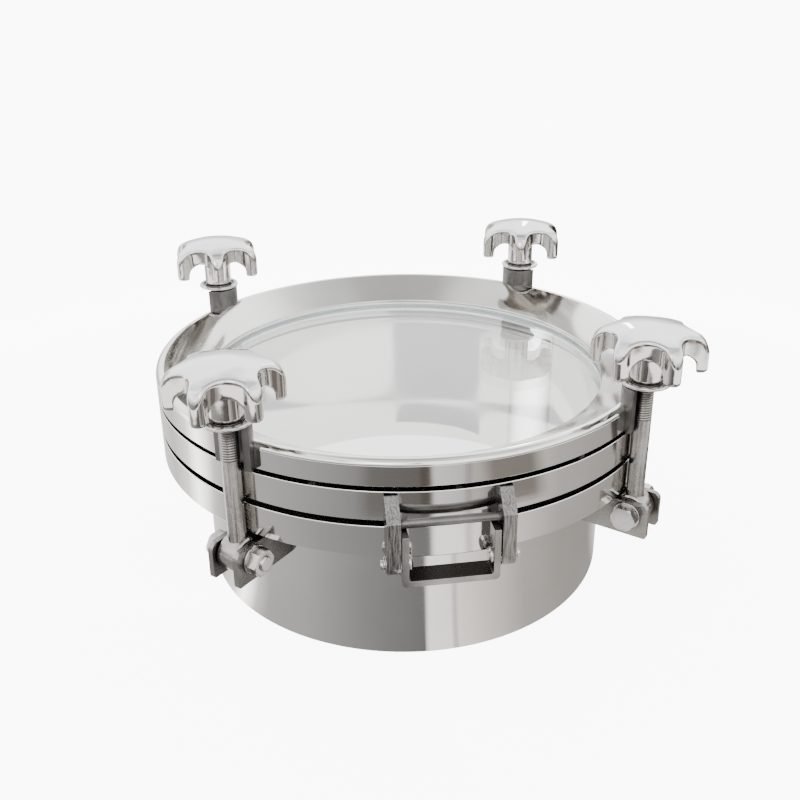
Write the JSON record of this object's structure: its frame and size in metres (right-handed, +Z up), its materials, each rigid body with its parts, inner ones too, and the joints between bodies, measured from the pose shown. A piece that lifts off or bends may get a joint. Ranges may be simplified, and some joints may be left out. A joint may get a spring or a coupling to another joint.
{
  "type": "tank manway cover",
  "caption": "Round sight-glass manway cover on a weld-in neck, held by swing bolts with star knobs in rim sleeves, with a side hinge.",
  "frame": {"origin": "centre of the neck's lower end", "axes": "+Z up the neck towards the lid, hinge near the -Y side, clamps on the diagonals"},
  "size_m": [0.366, 0.3791, 0.218],
  "materials": {
    "polished_steel": "mirror-polished stainless steel",
    "satin_steel": "satin stainless steel, dark grey",
    "rod_steel": "turned stainless steel",
    "knob_steel": "cast stainless steel, tumbled and polished",
    "bright_hardware": "bright stainless fasteners",
    "gasket": "smooth black elastomer",
    "glass_seal": "white silicone",
    "sight_glass": "clear tempered glass"
  },
  "bodies": {
    "manway": {"neck_shell": "polished_steel", "base_flange": "polished_steel", "lid_lower_ring": "polished_steel", "lid_upper_ring": "polished_steel", "hinge_frame": "polished_steel", "hinge_lug_left": "polished_steel", "hinge_lug_right": "polished_steel", "hinge_tie_bar": "polished_steel", "hinge_pivots": "bright_hardware", "hinge_washers": "bright_hardware", "hinge_clips": "bright_hardware", "lid_screws": "bright_hardware", "main_gasket": "gasket", "glass_lower_gasket": "glass_seal", "glass_upper_gasket": "glass_seal", "sight_glass": "sight_glass", "clamp_sleeve_1": "satin_steel", "clevis_bracket_1": "satin_steel", "clevis_bolt_1": "bright_hardware", "clevis_washers_1": "bright_hardware", "clevis_nut_1": "bright_hardware", "clamp_sleeve_2": "satin_steel", "clevis_bracket_2": "satin_steel", "clevis_bolt_2": "bright_hardware", "clevis_washers_2": "bright_hardware", "clevis_nut_2": "bright_hardware", "clamp_sleeve_3": "satin_steel", "clevis_bracket_3": "satin_steel", "clevis_bolt_3": "bright_hardware", "clevis_washers_3": "bright_hardware", "clevis_nut_3": "bright_hardware", "clamp_sleeve_4": "satin_steel", "clevis_bracket_4": "satin_steel", "clevis_bolt_4": "bright_hardware", "clevis_washers_4": "bright_hardware", "clevis_nut_4": "bright_hardware"},
    "bolt_1": {"swing_bolt_1": "rod_steel"},
    "washer_1": {"thrust_washer_1": "bright_hardware"},
    "knob_1": {"star_knob_1": "knob_steel"},
    "bolt_2": {"swing_bolt_2": "rod_steel"},
    "washer_2": {"thrust_washer_2": "bright_hardware"},
    "knob_2": {"star_knob_2": "knob_steel"},
    "bolt_3": {"swing_bolt_3": "rod_steel"},
    "washer_3": {"thrust_washer_3": "bright_hardware"},
    "knob_3": {"star_knob_3": "knob_steel"},
    "bolt_4": {"swing_bolt_4": "rod_steel"},
    "washer_4": {"thrust_washer_4": "bright_hardware"},
    "knob_4": {"star_knob_4": "knob_steel"}
  },
  "joints": [
    {"name": "swing_1", "type": "hinge", "parent": "manway", "child": "bolt_1", "pos_m": [0.134, -0.134, 0.084], "axis": [0.7071, 0.7071, 0], "range_deg": [0, 105]},
    {"name": "knob_lift_1", "type": "slide", "parent": "bolt_1", "child": "washer_1", "axis": [0, 0, 1], "range_m": [-0.00146, 0.01051]},
    {"name": "knob_turn_1", "type": "hinge", "parent": "washer_1", "child": "knob_1", "pos_m": [0.134, -0.134, 0.189], "axis": [0, 0, 1], "range_deg": [-300, 2160]},
    {"name": "swing_2", "type": "hinge", "parent": "manway", "child": "bolt_2", "pos_m": [0.134, 0.134, 0.084], "axis": [-0.7071, 0.7071, 0], "range_deg": [0, 105]},
    {"name": "knob_lift_2", "type": "slide", "parent": "bolt_2", "child": "washer_2", "axis": [0, 0, 1], "range_m": [-0.00146, 0.01051]},
    {"name": "knob_turn_2", "type": "hinge", "parent": "washer_2", "child": "knob_2", "pos_m": [0.134, 0.134, 0.189], "axis": [0, 0, 1], "range_deg": [-300, 2160]},
    {"name": "swing_3", "type": "hinge", "parent": "manway", "child": "bolt_3", "pos_m": [-0.134, 0.134, 0.084], "axis": [-0.7071, -0.7071, 0], "range_deg": [0, 105]},
    {"name": "knob_lift_3", "type": "slide", "parent": "bolt_3", "child": "washer_3", "axis": [0, 0, 1], "range_m": [-0.00146, 0.01051]},
    {"name": "knob_turn_3", "type": "hinge", "parent": "washer_3", "child": "knob_3", "pos_m": [-0.134, 0.134, 0.189], "axis": [0, 0, 1], "range_deg": [-300, 2160]},
    {"name": "swing_4", "type": "hinge", "parent": "manway", "child": "bolt_4", "pos_m": [-0.134, -0.134, 0.084], "axis": [0.7071, -0.7071, 0], "range_deg": [0, 105]},
    {"name": "knob_lift_4", "type": "slide", "parent": "bolt_4", "child": "washer_4", "axis": [0, 0, 1], "range_m": [-0.00146, 0.01051]},
    {"name": "knob_turn_4", "type": "hinge", "parent": "washer_4", "child": "knob_4", "pos_m": [-0.134, -0.134, 0.189], "axis": [0, 0, 1], "range_deg": [-300, 2160]}
  ],
  "couplings": [
    {"joint": "knob_lift_1", "follows": "knob_turn_1", "m_per_rad": 0.00027852},
    {"joint": "knob_lift_2", "follows": "knob_turn_2", "m_per_rad": 0.00027852},
    {"joint": "knob_lift_3", "follows": "knob_turn_3", "m_per_rad": 0.00027852},
    {"joint": "knob_lift_4", "follows": "knob_turn_4", "m_per_rad": 0.00027852}
  ]
}
